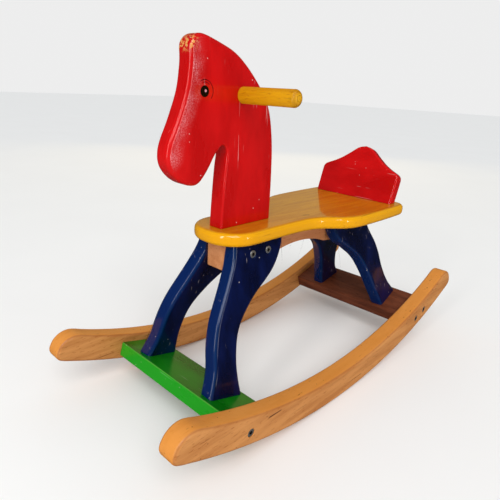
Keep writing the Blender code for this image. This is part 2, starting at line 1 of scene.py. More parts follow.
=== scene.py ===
# %% [markdown]
# # A painted wooden rocking horse
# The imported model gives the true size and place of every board, bolt and screw. This
# lesson draws the visible boards again with finer curves and rounder edges, paints them,
# and sets the horse in a small studio. All lengths are in metres. The horse faces -Y,
# its left side is at +X, and +Z is up.

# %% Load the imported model
import json
import math

import bpy
from mathutils import Matrix, Vector

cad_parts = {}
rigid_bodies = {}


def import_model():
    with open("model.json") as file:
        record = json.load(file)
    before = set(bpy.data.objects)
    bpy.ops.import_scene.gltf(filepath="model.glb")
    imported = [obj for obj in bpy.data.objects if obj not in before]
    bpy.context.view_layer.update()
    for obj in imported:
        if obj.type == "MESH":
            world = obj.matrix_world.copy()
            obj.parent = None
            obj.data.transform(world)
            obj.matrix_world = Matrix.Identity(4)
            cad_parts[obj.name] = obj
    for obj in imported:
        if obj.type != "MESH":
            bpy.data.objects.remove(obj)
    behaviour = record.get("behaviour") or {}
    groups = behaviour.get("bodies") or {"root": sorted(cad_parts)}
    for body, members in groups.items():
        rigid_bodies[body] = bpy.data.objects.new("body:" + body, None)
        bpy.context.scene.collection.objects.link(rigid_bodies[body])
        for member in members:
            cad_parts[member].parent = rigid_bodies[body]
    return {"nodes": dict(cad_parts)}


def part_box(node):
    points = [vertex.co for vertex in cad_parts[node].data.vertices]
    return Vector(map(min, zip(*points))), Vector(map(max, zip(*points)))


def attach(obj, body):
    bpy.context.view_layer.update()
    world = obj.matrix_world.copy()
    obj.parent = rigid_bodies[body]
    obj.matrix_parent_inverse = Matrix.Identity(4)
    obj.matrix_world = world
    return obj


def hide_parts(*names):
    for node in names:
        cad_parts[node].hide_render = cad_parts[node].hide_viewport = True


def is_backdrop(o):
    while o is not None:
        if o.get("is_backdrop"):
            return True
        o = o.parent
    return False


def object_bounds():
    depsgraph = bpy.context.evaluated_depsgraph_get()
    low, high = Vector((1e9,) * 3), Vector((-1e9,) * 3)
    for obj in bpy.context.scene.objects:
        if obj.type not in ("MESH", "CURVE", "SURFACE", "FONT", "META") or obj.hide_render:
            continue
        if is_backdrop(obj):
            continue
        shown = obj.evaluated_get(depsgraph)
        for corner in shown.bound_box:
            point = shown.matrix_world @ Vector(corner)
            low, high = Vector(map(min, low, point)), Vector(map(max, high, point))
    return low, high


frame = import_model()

nodes = frame["nodes"]
cad_low, cad_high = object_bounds()
print("packed pieces:", len(nodes), "size:", [round(v, 3) for v in cad_high - cad_low])

# %% [markdown]
# ## The camera
# The viewer stands at the horse's left front and looks a little down on it. A real camera
# at this distance has a moderately wide lens, so the near runner looks longer than the
# far one. The shift is the small amount by which the horse sits off the middle.

# %% Camera
lens_mm = 33.71966
camera_data = bpy.data.cameras.new("camera")
camera_data.sensor_width = 36
camera_data.lens = lens_mm
camera_data.shift_x = 0.0054649
camera_data.shift_y = 0.0003190
camera_data.clip_start = 0.01
camera = bpy.data.objects.new("camera", camera_data)
camera.location = (0.497037, -0.631728, 0.485750)
camera.rotation_euler = [math.radians(a) for a in (70.74987, -2.68051, 44.39953)]
bpy.context.scene.collection.objects.link(camera)
bpy.context.scene.camera = camera
print("camera", round((camera.location - (cad_low + cad_high) / 2).length, 2), "m from the horse")

# %% [markdown]
# ## The studio
# A plain pale floor shows where the runners touch. It is one big plane, and it is marked
# as stage, because it is no part of the horse. The sky behind it is nearly white for the
# eye, but dimmer for reflections: glossy paint that mirrors a white room looks milky,
# and these paints are deep and full.


# %% One piece selected at a time
def only(*pieces):
    """Leaves edit mode and selects these pieces alone."""
    if bpy.context.object and bpy.context.object.mode != "OBJECT":
        bpy.ops.object.mode_set(mode="OBJECT")
    bpy.ops.object.select_all(action="DESELECT")
    for piece in pieces:
        piece.select_set(True)
    bpy.context.view_layer.objects.active = pieces[0]
    return pieces[0]


def newest(name):
    """The piece that an operator has just added, with its name."""
    piece = bpy.context.object
    piece.name = piece.data.name = name
    return piece


# %% Floor
bpy.ops.object.select_all(action="DESELECT")
bpy.ops.mesh.primitive_plane_add(size=30)
floor = newest("floor")
floor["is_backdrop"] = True
print("floor", floor.dimensions.x, "m wide")

# %% [markdown]
# ## The light
# The key is a very soft sun, high on the viewer's right: it lights floor and horse evenly
# and has no falloff. Two tall strips, one before the horse and one at its left, draw the
# two thin bright lines along its rounded edges: the flat faces turn their light away. A
# warm panel stands low behind the horse: the lacquered seat lies nearly flat to the eye,
# so it mirrors that panel, and shows where the backrest hides it.


# %% Sun and soft boxes
def aim(lamp, place, target):
    lamp.location = place
    lamp.rotation_euler = (Vector(target) - Vector(place)).to_track_quat("-Z", "Y").to_euler()
    lamp.visible_camera = False
    bpy.context.scene.collection.objects.link(lamp)


def soft_box(name, place, size, power, tint):
    light = bpy.data.lights.new(name, "AREA")
    light.shape = "RECTANGLE"
    light.size, light.size_y = size
    light.energy = power
    light.color = tint
    aim(bpy.data.objects.new(name, light), place, horse_middle)


horse_middle = (0, 0, 0.25)
sun = bpy.data.lights.new("key", "SUN")
sun.energy = 1.45
sun.angle = math.radians(38)
aim(bpy.data.objects.new("key", sun), (1.4, -1.1, 2.0), horse_middle)
soft_box("front strip", (0.35, -1.7, 0.85), (0.22, 1.4), 9, (1, 0.97, 0.94))
soft_box("side strip", (1.8, 0.1, 0.35), (0.16, 0.9), 4, (1, 0.97, 0.94))
soft_box("panel", (-1.9, 2.0, 1.15), (2.6, 1.5), 5, (1.0, 0.76, 0.3))

# %% Sky: one strength for the eye, one for matt light, one for reflections
bpy.context.scene.view_settings.view_transform = "Standard"
world = bpy.data.worlds.new("sky")
bpy.context.scene.world = world
world.use_nodes = True
sky = world.node_tree
sky.nodes.clear()
path = sky.nodes.new("ShaderNodeLightPath")
backdrop = sky.nodes.new("ShaderNodeOutputWorld")


def sky_part(red, green, blue, strength):
    part = sky.nodes.new("ShaderNodeBackground")
    part.inputs["Color"].default_value = (red, green, blue, 1)
    part.inputs["Strength"].default_value = strength
    return part.outputs[0]


def sky_mix(ray, without, with_it):
    mix = sky.nodes.new("ShaderNodeMixShader")
    sky.links.new(path.outputs[ray], mix.inputs[0])
    sky.links.new(without, mix.inputs[1])
    sky.links.new(with_it, mix.inputs[2])
    return mix.outputs[0]


ambient = sky_part(0.96, 0.98, 1.0, 0.60)
mirrored = sky_part(0.9, 0.95, 1.0, 0.05)
behind = sky_part(1.0, 1.0, 1.0, 0.85)
all_light = sky_mix("Is Camera Ray", sky_mix("Is Glossy Ray", ambient, mirrored), behind)
sky.links.new(all_light, backdrop.inputs["Surface"])

# %% [markdown]
# ## Boards with smooth outlines
# Nearly every piece of this horse is a flat board, sawn along a curve and then rounded
# along its edges with a router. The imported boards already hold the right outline, as
# short straight steps. So each board is made again in the order in which a joiner works:
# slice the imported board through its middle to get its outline, turn that outline into a
# smooth curve, fill it, extrude it to the board's thickness, and round its edges with a
# Bevel. A subdivision surface would also be smooth, but it shrinks corners, and a sawn
# board keeps them.


# %% Measuring a packed board
def slab(node, normal):
    """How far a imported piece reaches, lowest and highest, in one direction."""
    reach = [normal.dot(v.co) for v in nodes[node].data.vertices]
    return min(reach), max(reach)


# %% Slicing out its outline
def outline_of(node, name, normal, height, merge=0.0006):
    """The outer edge of the slice at this height along the normal. Bolt holes are dropped."""
    piece = bpy.data.objects.new(name, nodes[node].data.copy())
    bpy.context.scene.collection.objects.link(piece)
    only(piece)
    bpy.ops.object.mode_set(mode="EDIT")
    bpy.ops.mesh.select_all(action="SELECT")
    bpy.ops.mesh.remove_doubles(threshold=1e-5)
    bpy.ops.mesh.bisect(
        plane_co=normal * height, plane_no=normal, clear_inner=True, clear_outer=True
    )
    bpy.ops.mesh.select_all(action="DESELECT")
    bpy.ops.object.mode_set(mode="OBJECT")
    sideways = normal.orthogonal()
    outermost = max(piece.data.vertices, key=lambda v: sideways.dot(v.co))
    outermost.select = True
    bpy.ops.object.mode_set(mode="EDIT")
    bpy.ops.mesh.select_linked()
    bpy.ops.mesh.select_all(action="INVERT")
    bpy.ops.mesh.delete(type="VERT")
    bpy.ops.mesh.select_all(action="SELECT")
    bpy.ops.mesh.remove_doubles(threshold=merge)
    bpy.ops.mesh.dissolve_limited(angle_limit=math.radians(0.6))
    bpy.ops.object.mode_set(mode="OBJECT")
    return piece


# %% [markdown]
# A curve with automatic handles runs smoothly through every point. Where the outline
# turns sharply, the joiner left a corner, so the handles there are set to point straight
# at their neighbours. Some boards are cut off later by a plane, such as a leg at the
# seat. Their corners are first moved outwards along the board's own edge, so that there
# is wood to cut.


# %% Smoothing it
def bend(before, point, after):
    return (point - before).angle(after - point, 0.0)


def smooth_outline(piece, steps=5, corner=60, longer=0.0):
    """Turns the loop of edges into a finer, smooth loop."""
    only(piece)
    bpy.ops.object.convert(target="CURVE")
    bpy.ops.object.mode_set(mode="EDIT")
    bpy.ops.curve.select_all(action="SELECT")
    bpy.ops.curve.spline_type_set(type="BEZIER")
    bpy.ops.curve.handle_type_set(type="AUTOMATIC")
    bpy.ops.object.mode_set(mode="OBJECT")
    points = piece.data.splines[0].bezier_points
    places = [p.co.copy() for p in points]
    count = len(places)
    turns = [bend(places[i - 1], places[i], places[(i + 1) % count]) for i in range(count)]
    corners = [i for i in range(count) if turns[i] > math.radians(corner)]
    for i in corners:
        points[i].handle_left_type = points[i].handle_right_type = "VECTOR"
        if longer:
            inside = (i + 1) % count if (i - 1) % count in corners else i - 1
            points[i].co += (places[i] - places[inside]).normalized() * longer
    piece.data.resolution_u = steps
    only(piece)
    bpy.ops.object.convert(target="MESH")
    return piece


# %% Filling and thickening it
def thicken(piece, normal, low, high):
    """Fills the outline, and makes a board of it between two heights along the normal."""
    only(piece)
    bpy.ops.object.mode_set(mode="EDIT")
    bpy.ops.mesh.select_all(action="SELECT")
    bpy.ops.mesh.remove_doubles(threshold=2e-4)
    now = normal.dot(piece.data.vertices[0].co)
    bpy.ops.transform.translate(value=normal * (low - now))
    bpy.ops.mesh.edge_face_add()
    bpy.ops.mesh.extrude_region_move(TRANSFORM_OT_translate={"value": normal * (high - low)})
    bpy.ops.mesh.select_all(action="SELECT")
    bpy.ops.mesh.normals_make_consistent(inside=False)
    bpy.ops.object.mode_set(mode="OBJECT")
    return piece


# %% [markdown]
# The rounding is a Bevel modifier. Its overlap guard is off, because a fine outline has
# edges far shorter than the bevel is wide, and the guard would shrink the bevel to them.
# After it, the two flat faces get a narrow inset ring: it holds the shading of the
# rounded edge, so that the flat faces really look flat.


# %% Rounding its edges
def round_edges(piece, width, segments=5, angle=35, weighted=False):
    only(piece)
    bevel = piece.modifiers.new("rounded edges", "BEVEL")
    bevel.width = width
    bevel.segments = segments
    bevel.limit_method = "WEIGHT" if weighted else "ANGLE"
    bevel.angle_limit = math.radians(angle)
    bevel.use_clamp_overlap = False
    bpy.ops.object.modifier_apply(modifier=bevel.name)
    return piece


def hold_flats(piece, count=2, ring=0.0006):
    """Insets the largest flat faces a little."""
    only(piece)
    flats = sorted(piece.data.polygons, key=lambda f: f.area)[-count:]
    chosen = {f.index for f in flats}
    for part in (piece.data.polygons, piece.data.edges, piece.data.vertices):
        for item in part:
            item.select = False
    for face in piece.data.polygons:
        face.select = face.index in chosen
    bpy.ops.object.mode_set(mode="EDIT")
    bpy.ops.mesh.select_mode(type="FACE")
    bpy.ops.mesh.inset(thickness=ring, use_individual=True)
    bpy.ops.mesh.select_mode(type="VERT")
    bpy.ops.object.mode_set(mode="OBJECT")
    return piece


def slice_off(piece, point, normal):
    """Cuts the board with a plane, closes the cut, and drops what lies beyond it."""
    only(piece)
    bpy.ops.object.mode_set(mode="EDIT")
    bpy.ops.mesh.select_all(action="SELECT")
    bpy.ops.mesh.bisect(plane_co=point, plane_no=normal, use_fill=True, clear_outer=True)
    bpy.ops.mesh.select_all(action="SELECT")
    bpy.ops.mesh.remove_doubles(threshold=1e-5)
    bpy.ops.mesh.fill_holes(sides=0)
    bpy.ops.object.mode_set(mode="OBJECT")
    return piece


def smooth_shading(piece, angle=32):
    only(piece)
    bpy.ops.object.shade_smooth_by_angle(angle=math.radians(angle))
    return piece


# %% [markdown]
# A hole is cut with a Boolean, as a drill would: a cylinder as wide as the hole is put
# where the hole goes, and taken away from the wood. A pocket finds its own place, size and
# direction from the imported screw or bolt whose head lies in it.


# %% Drilling
def drill(piece, place, direction, radius, depth, sides=32):
    """A round hole whose middle is at the place, and which is this deep in all."""
    bpy.ops.object.select_all(action="DESELECT")
    turn = Vector(direction).to_track_quat("Z", "Y").to_euler()
    bpy.ops.mesh.primitive_cylinder_add(
        vertices=sides, radius=radius, depth=depth, location=place, rotation=turn
    )
    cutter = newest("drill")
    only(piece)
    hole = piece.modifiers.new("hole", "BOOLEAN")
    hole.operation = "DIFFERENCE"
    hole.object = cutter
    bpy.ops.object.modifier_apply(modifier=hole.name)
    bpy.data.objects.remove(cutter)
    return piece


def pocket(piece, node, toward, depth):
    """Drills room for the end of a packed fastener that points the given way."""
    points = [v.co for v in nodes[node].data.vertices]
    reach = sorted(Vector(toward).dot(p) for p in points)
    head = [p for p in points if Vector(toward).dot(p) > reach[-1] - 0.001]
    tail = [p for p in points if Vector(toward).dot(p) < reach[0] + 0.001]
    spot = sum(head, Vector()) / len(head)
    axis = spot - sum(tail, Vector()) / len(tail)
    radius = max((p - spot).length for p in head)
    return drill(piece, spot, axis, radius + 0.0003, depth)


def centre_of(node):
    low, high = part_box(node)
    return (low + high) / 2


def report(piece):
    size = piece.dimensions
    print(piece.name, [round(v, 4) for v in size], len(piece.data.polygons), "faces")


across = Vector((1, 0, 0))
upward = Vector((0, 0, 1))
made = {}

# %% [markdown]
# ## The runners
# Two bows of solid beech, sawn from a wide plank along arcs of one circle, with the nose
# at each end rounded off by hand. They could be bent instead, but bent wood shows its
# layers at the ends, and these show plain long grain. The edges are well rounded, so that
# they don't mark a floor.

# %% Runners
box_low, box_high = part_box("leg_bolt_1")
bolt_radius = (box_high.z - box_low.z) / 2
for side in ("left", "right"):
    low, high = slab(f"runner_{side}", across)
    bow = outline_of(f"runner_{side}", f"bow_{side}", across, (low + high) / 2)
    smooth_outline(bow)
    thicken(bow, across, low, high)
    round_edges(bow, 0.0050, segments=6)
    hold_flats(bow)
    face = high if side == "left" else low
    for bolt in ("front_{}_1", "rear_{}_1", "rear_{}_2"):
        spot = centre_of("runner_bolt_" + bolt.format(side))
        spot.x = face
        drill(bow, spot, across, bolt_radius + 0.0003, 0.0066)
    made[f"runner_{side}"] = smooth_shading(bow)
    report(bow)

# %% [markdown]
# ## The cross boards
# Two straight planks between the runners, which tilt because they sit square to the
# curve: the rider's feet rest on the front one. A cube is the right start for a plank. It
# is added at its true size, place and tilt, its edges are broken, and its long faces are
# cut once across, so that the grain's bump has an even surface to sit on.

# %% Cross boards
tilt_of = {"front": -14.3, "rear": 18.0}
board_normal = {}
for name, tilt in tilt_of.items():
    node = f"{name}_cross_board"
    turn = Matrix.Rotation(math.radians(tilt), 3, "X")
    lengthwise, normal = turn @ Vector((0, 1, 0)), turn @ upward
    board_normal[name] = normal
    width = slab(node, across)
    depth = slab(node, lengthwise)
    thick = slab(node, normal)
    place = across * sum(width) / 2 + lengthwise * sum(depth) / 2 + normal * sum(thick) / 2
    size = [high - low for low, high in (width, depth, thick)]
    bpy.ops.object.select_all(action="DESELECT")
    bpy.ops.mesh.primitive_cube_add(
        size=1, location=place, rotation=(math.radians(tilt), 0, 0), scale=size
    )
    plank = newest(f"plank_{name}")
    only(plank)
    bpy.ops.object.transform_apply(location=True, rotation=True, scale=True)
    bpy.ops.object.mode_set(mode="EDIT")
    bpy.ops.mesh.select_all(action="SELECT")
    bpy.ops.mesh.bisect(plane_co=place, plane_no=across)
    bpy.ops.object.mode_set(mode="OBJECT")
    round_edges(plank, 0.0018, segments=4)
    hold_flats(plank, count=12)
    made[node] = plank

# %% Pockets under the boards
for name, plank_count in (("front", 1), ("rear", 2)):
    plank = made[f"{name}_cross_board"]
    for side in ("left", "right"):
        pocket(plank, f"foot_screw_{name}_{side}", -upward, 0.0066)
        for number in range(1, plank_count + 1):
            pocket(plank, f"barrel_nut_{name}_{side}_{number}", -board_normal[name], 0.034)
    smooth_shading(plank)
    report(plank)

# %% [markdown]
# ## The beam under the seat
# One straight rail of bare beech with a shallow arch sawn out of its underside, so that a
# hand can lift the horse there. The legs are bolted to its sides.

# %% Beam
low, high = slab("seat_beam", across)
beam = outline_of("seat_beam", "arched_beam", across, high - 0.005)
smooth_outline(beam, corner=20)
thicken(beam, across, low, high)
round_edges(beam, 0.0012, segments=3)
hold_flats(beam)
made["seat_beam"] = smooth_shading(beam)
report(beam)

# %% [markdown]
# ## The legs
# Each leg is a curved board that leans outwards by 14 degrees. At its foot it is sawn
# off at the tilt of the cross board, at its top it is level under the seat, and its inner
# face is planed upright where it meets the beam. The slice is taken through the middle of
# the leaning board, its corners are moved on by 20 mm, the edges are rounded, and only
# then the three saw cuts are made. That leaves the cut ends sharp, as they are on the
# real legs.

# %% Legs
splay = math.radians(14)
for pair in ("front", "rear"):
    for side in ("left", "right"):
        node = f"{pair}_leg_{side}"
        outward = 1 if side == "left" else -1
        normal = Vector((outward * math.cos(splay), 0, math.sin(splay)))
        low, high = slab(node, normal)
        leg = outline_of(node, f"curved_leg_{pair}_{side}", normal, (low + high) / 2 + 0.006)
        smooth_outline(leg, longer=0.02)
        thicken(leg, normal, low, high)
        round_edges(leg, 0.0065, segments=7)
        hold_flats(leg)
        box_low, box_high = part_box(node)
        slice_off(leg, upward * box_high.z, upward)
        foot = board_normal[pair]
        slice_off(leg, foot * slab(node, foot)[0], -foot)
        inner = box_low.x if side == "left" else box_high.x
        slice_off(leg, across * inner, across * -outward)
        made[node] = leg
        report(leg)

# %% Pockets for the leg bolts
for number in range(1, 5):
    pair = "front" if number < 3 else "rear"
    for side, node in (("left", "leg_bolt"), ("right", "leg_sleeve_nut")):
        box_low, box_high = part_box(f"{node}_{number}")
        spot = (box_low + box_high) / 2
        spot.x = box_high.x if side == "left" else box_low.x
        drill(made[f"{pair}_leg_{side}"], spot, across, bolt_radius + 0.0003, 0.0058)
for name, leg in made.items():
    if "leg" in name:
        smooth_shading(leg)
print("legs drilled for 4 bolts and 4 sleeve nuts")

# %% [markdown]
# ## The seat
# A board sawn to a waist, narrow between the rider's knees and wide behind, with a
# generous bullnose all round. A router with a quarter-round bit gives exactly this edge,
# and a wide Bevel with many segments is its match.

# %% Seat
low, high = slab("seat", upward)
seat = outline_of("seat", "lacquered_seat", upward, (low + high) / 2)
smooth_outline(seat)
thicken(seat, upward, low, high)
round_edges(seat, 0.0075, segments=8)
hold_flats(seat)
for side in ("left", "right"):
    pocket(seat, f"back_screw_{side}", -upward, 0.008)
made["seat"] = smooth_shading(seat)
report(seat)

# %% [markdown]
# ## The head and neck
# One flat board again, but its edge changes along the way: it is well rounded round the
# horse's face, where small hands pat it, and nearly sharp down the neck. A bevel weight
# on each edge says how much of the full rounding it gets, so the weight fades from 1 at
# the face to a half on the neck.

# %% Head board
low, high = slab("head", across)
head = outline_of("head", "painted_head", across, 0.005, merge=0.0012)
smooth_outline(head, longer=0.01)
thicken(head, across, low, high)

# %% Rounding that fades down the neck
face_height, neck_height, neck_weight = 0.500, 0.410, 0.5
throat_y = -0.190
weights = head.data.attributes.new("bevel_weight_edge", "FLOAT", "EDGE")
for edge in head.data.edges:
    a, b = (head.data.vertices[i].co for i in edge.vertices)
    if abs(a.x - b.x) > 1e-5:
        continue
    height = (a.z + b.z) / 2
    on_face = (a.y + b.y) / 2 < throat_y
    fade = min(max((height - neck_height) / (face_height - neck_height), 0), 1)
    weights.data[edge.index].value = 1 if on_face else neck_weight + (1 - neck_weight) * fade
round_edges(head, 0.0065, segments=7, weighted=True)
hold_flats(head)
slice_off(head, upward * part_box("head")[0].z, -upward)
report(head)

# %% Holes for the hand bar and the barrel nuts
bar_low, bar_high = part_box("handle")
bar_radius = (bar_high.z - bar_low.z) / 2
bar_middle = (bar_low + bar_high) / 2
drill(head, bar_middle, across, bar_radius + 0.0003, 0.08, sides=64)
for number in (1, 2):
    nut_low, nut_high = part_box(f"neck_barrel_nut_{number}")
    spot = (nut_low + nut_high) / 2
    drill(head, (-0.012, spot.y, spot.z), across, (nut_high.z - nut_low.z) / 2 + 0.0003, 0.024)
made["head"] = smooth_shading(head)

# %% [markdown]
# ## The hand bar
# A dowel through the head, with its ends turned round. It is a cylinder whose end rings
# are selected by their place and beveled in edit mode. Known fault: Blender is in vertex
# mode at that point, so the selection spreads to the long edges, and they are beveled
# too. The bar's surface overlaps itself and is up to 1.45 mm too thick. Edge mode, set
# before the rings are selected, should cure it.

# %% Hand bar
bpy.ops.object.select_all(action="DESELECT")
bpy.ops.mesh.primitive_cylinder_add(
    vertices=72,
    radius=bar_radius,
    depth=bar_high.x - bar_low.x,
    location=bar_middle,
    rotation=(0, math.radians(90), 0),
)
bar = newest("hand_bar")
only(bar)
bpy.ops.object.transform_apply(location=True, rotation=True, scale=True)
bpy.ops.object.mode_set(mode="EDIT")
bpy.ops.mesh.select_all(action="DESELECT")
bpy.ops.object.mode_set(mode="OBJECT")
for edge in bar.data.edges:
    a, b = (bar.data.vertices[i].co for i in edge.vertices)
    edge.select = abs(a.x - b.x) < 1e-5
bpy.ops.object.mode_set(mode="EDIT")
bpy.ops.mesh.select_mode(type="EDGE")
bpy.ops.mesh.bevel(offset=0.0062, segments=9, profile=0.5, affect="EDGES")
bpy.ops.mesh.select_mode(type="VERT")
bpy.ops.object.mode_set(mode="OBJECT")
made["handle"] = smooth_shading(bar, 40)
report(bar)

# %% [markdown]
# ## The backrest
# A low board with a soft point in the middle, which leans back 18 degrees. It keeps the
# rider from sliding off. It is sawn off level where it stands on the seat.

# %% Backrest
lean = math.radians(18)
forward = Vector((0, -math.cos(lean), math.sin(lean)))
low, high = slab("backrest", forward)
back = outline_of("backrest", "crowned_backrest", forward, (low + high) / 2 + 0.004)
smooth_outline(back, longer=0.02)
thicken(back, forward, low, high)
round_edges(back, 0.0038, segments=6)
hold_flats(back)
slice_off(back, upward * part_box("backrest")[0].z, -upward)
made["backrest"] = smooth_shading(back)
report(back)

# %% [markdown]
# ## The eyes
# On each side of the head a black dot is painted, with a small pink light in it and two
# short brow strokes over it. Paint is a layer of its own here, a tenth of a millimetre
# thick, so the eye keeps a clean edge at any distance. A dot is a filled circle that is
# extruded outwards. A stroke is one short edge, spun round the eye's middle and extruded.


# %% One layer of paint
eye_place = Vector((0, -0.2156, 0.4776))
paint_depth = 0.00015
head_half = slab("head", across)[1]


def paint_layer(piece, outward, layers):
    """Thickens a flat shape into a thin layer on the head's side."""
    only(piece)
    bpy.ops.object.transform_apply(location=True, rotation=True, scale=True)
    bpy.ops.object.mode_set(mode="EDIT")
    bpy.ops.mesh.select_all(action="SELECT")
    bpy.ops.mesh.remove_doubles(threshold=1e-6)
    step = across * outward * (1 + layers) * paint_depth
    bpy.ops.mesh.extrude_region_move(TRANSFORM_OT_translate={"value": step})
    bpy.ops.mesh.select_all(action="SELECT")
    bpy.ops.mesh.normals_make_consistent(inside=False)
    bpy.ops.object.mode_set(mode="OBJECT")
    return smooth_shading(piece)


def dot(name, outward, radius, offset, layers):
    bpy.ops.object.select_all(action="DESELECT")
    bpy.ops.mesh.primitive_circle_add(
        vertices=48,
        radius=radius,
        fill_type="NGON",
        location=eye_place + offset + across * outward * (head_half - paint_depth),
        rotation=(0, math.radians(90), 0),
    )
    return paint_layer(newest(name), outward, layers)


# %% Brow strokes
def stroke(name, outward, radius, width, start, sweep):
    """A band round the eye: from the start angle, where 0 points back and 90 points up."""
    bpy.ops.object.select_all(action="DESELECT")
    bpy.ops.mesh.primitive_plane_add(size=0.001)
    piece = newest(name)
    only(piece)
    centre = eye_place + across * outward * (head_half - paint_depth)
    ray = Vector((0, math.cos(math.radians(start)), math.sin(math.radians(start))))
    ends = (radius - width / 2, radius + width / 2)
    bpy.ops.object.mode_set(mode="EDIT")
    bpy.ops.mesh.select_all(action="SELECT")
    bpy.ops.mesh.merge(type="CENTER")
    bpy.ops.transform.translate(value=centre + ray * ends[0])
    bpy.ops.mesh.extrude_region_move(TRANSFORM_OT_translate={"value": ray * width})
    bpy.ops.mesh.select_all(action="SELECT")
    bpy.ops.mesh.spin(steps=24, angle=math.radians(-sweep), center=centre, axis=across)
    bpy.ops.object.mode_set(mode="OBJECT")
    return paint_layer(piece, outward, 1)


# %% Both eyes
eyes, lashes, lights_in_eyes = [], [], []
for side, outward in (("left", 1), ("right", -1)):
    eyes.append(dot(f"pupil_{side}", outward, 0.0072, Vector(), 1))
    lashes.append(stroke(f"brow_{side}", outward, 0.0142, 0.0011, -38, 158))
    lashes.append(stroke(f"lid_{side}", outward, 0.0112, 0.0008, 48, 62))
    glint = Vector((0, 0.0014, 0.0006))
    lights_in_eyes.append(dot(f"glint_{side}", outward, 0.0017, glint, 2))
for piece in eyes + lashes + lights_in_eyes:
    report(piece)

# %% [markdown]
# ## Bolt heads
# Flat round heads with a hexagon socket hold the legs and the runners. One is modelled at the origin:
# a cylinder whose rim is beveled, and a six-sided Boolean for the socket, whose walls and floor are
# later painted near-black as painted shade. It is then copied to every bolt, each copy with its own
# mesh.

# %% One bolt head
head_depth = 0.0024
bpy.ops.object.select_all(action="DESELECT")
bpy.ops.mesh.primitive_cylinder_add(
    vertices=40, radius=bolt_radius, depth=head_depth, location=(0, 0, -head_depth / 2)
)
pattern_cap = newest("cap_pattern")
only(pattern_cap)
bpy.ops.object.transform_apply(location=True, rotation=True, scale=True)
round_edges(pattern_cap, 0.0006, segments=3)
drill(pattern_cap, (0, 0, 0), upward, 0.0032, 0.0036, sides=6)
smooth_shading(pattern_cap, 40)
report(pattern_cap)

# %% Its copies
caps = []


def put_cap(name, node, outward):
    """A copy of the bolt head, square to X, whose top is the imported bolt's outer end."""
    cap = pattern_cap.copy()
    cap.data = pattern_cap.data.copy()
    cap.name = cap.data.name = name
    bpy.context.scene.collection.objects.link(cap)
    box_low, box_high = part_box(node)
    spot = (box_low + box_high) / 2
    spot.x = box_high.x if outward > 0 else box_low.x
    cap.location = spot
    cap.rotation_euler = (0, math.radians(90) * outward, 0)
    only(cap)
    bpy.ops.object.transform_apply(location=True, rotation=True, scale=True)
    caps.append(cap)
    made[node] = cap


for number in range(1, 5):
    put_cap(f"leg_cap_left_{number}", f"leg_bolt_{number}", 1)
    put_cap(f"leg_cap_right_{number}", f"leg_sleeve_nut_{number}", -1)
for side, outward in (("left", 1), ("right", -1)):
    for bolt in ("front_{}_1", "rear_{}_1", "rear_{}_2"):
        label = bolt.format(side)
        put_cap(f"runner_cap_{label}", f"runner_bolt_{label}", outward)
bpy.data.objects.remove(pattern_cap)
print(len(caps), "bolt heads")

# %% [markdown]
# ## Materials
# Each finish is paint or stain over beech, so all of them share three effects, and each
# effect is a node group that is built once: the grain of the wood, the wear along rounded
# edges, and the marks in a film of paint. Groups put out only colours, masks and heights.
# The Principled shader stays in each material, where its plain numbers, such as the clear
# coat's roughness, are set directly.


# %% Helpers for nodes
def colour(red, green, blue):
    """A colour as a picker shows it, 0 to 255, in the linear values that nodes take."""
    return tuple((v / 255) ** 2.2 for v in (red, green, blue)) + (1.0,)


def add(tree, kind, inputs=None, **settings):
    """Adds a node, applies its settings, and gives its inputs values or links."""
    node = tree.nodes.new("ShaderNode" + kind)
    for name, value in settings.items():
        setattr(node, name, value)
    for name, value in (inputs or {}).items():
        if isinstance(value, bpy.types.NodeSocket):
            tree.links.new(value, node.inputs[name])
        else:
            node.inputs[name].default_value = value
    return node


def maths(tree, operation, a, b=0.0):
    return add(tree, "Math", {0: a, 1: b}, operation=operation).outputs[0]


def blend_colour(tree, share, a, b):
    return add(tree, "Mix", {0: share, 6: a, 7: b}, data_type="RGBA").outputs[2]


def remap(tree, value, low, high, out_low=0.0, out_high=1.0):
    """Stretches the range from low to high onto the new range, and holds it there."""
    sockets = {0: value, 1: low, 2: high, 3: out_low, 4: out_high}
    return add(tree, "MapRange", sockets, interpolation_type="SMOOTHSTEP").outputs[0]


def noise(tree, vector, scale, detail=2.0, roughness=0.5):
    inputs = {"Vector": vector, "Scale": scale, "Detail": detail, "Roughness": roughness}
    return add(tree, "TexNoise", inputs).outputs["Fac"]


def stretch(tree, vector, amount):
    return add(tree, "VectorMath", {0: vector, 1: amount}, operation="MULTIPLY").outputs[0]


def new_group(name, inputs, outputs):
    """An empty node group with these named sockets."""
    group = bpy.data.node_groups.new(name, "ShaderNodeTree")
    for label, kind in inputs:
        group.interface.new_socket(label, in_out="INPUT", socket_type="NodeSocket" + kind)
    for label, kind in outputs:
        group.interface.new_socket(label, in_out="OUTPUT", socket_type="NodeSocket" + kind)
    return group, group.nodes.new("NodeGroupInput"), group.nodes.new("NodeGroupOutput")


# %% [markdown]
# ### Wood grain
# Beech has a quiet figure: slow light and dark bands along the board, fine fibres, and
# many short dark flecks. All three are noise that is stretched along the grain. The
# pattern's X is the grain's direction, and each material turns it to suit its board.

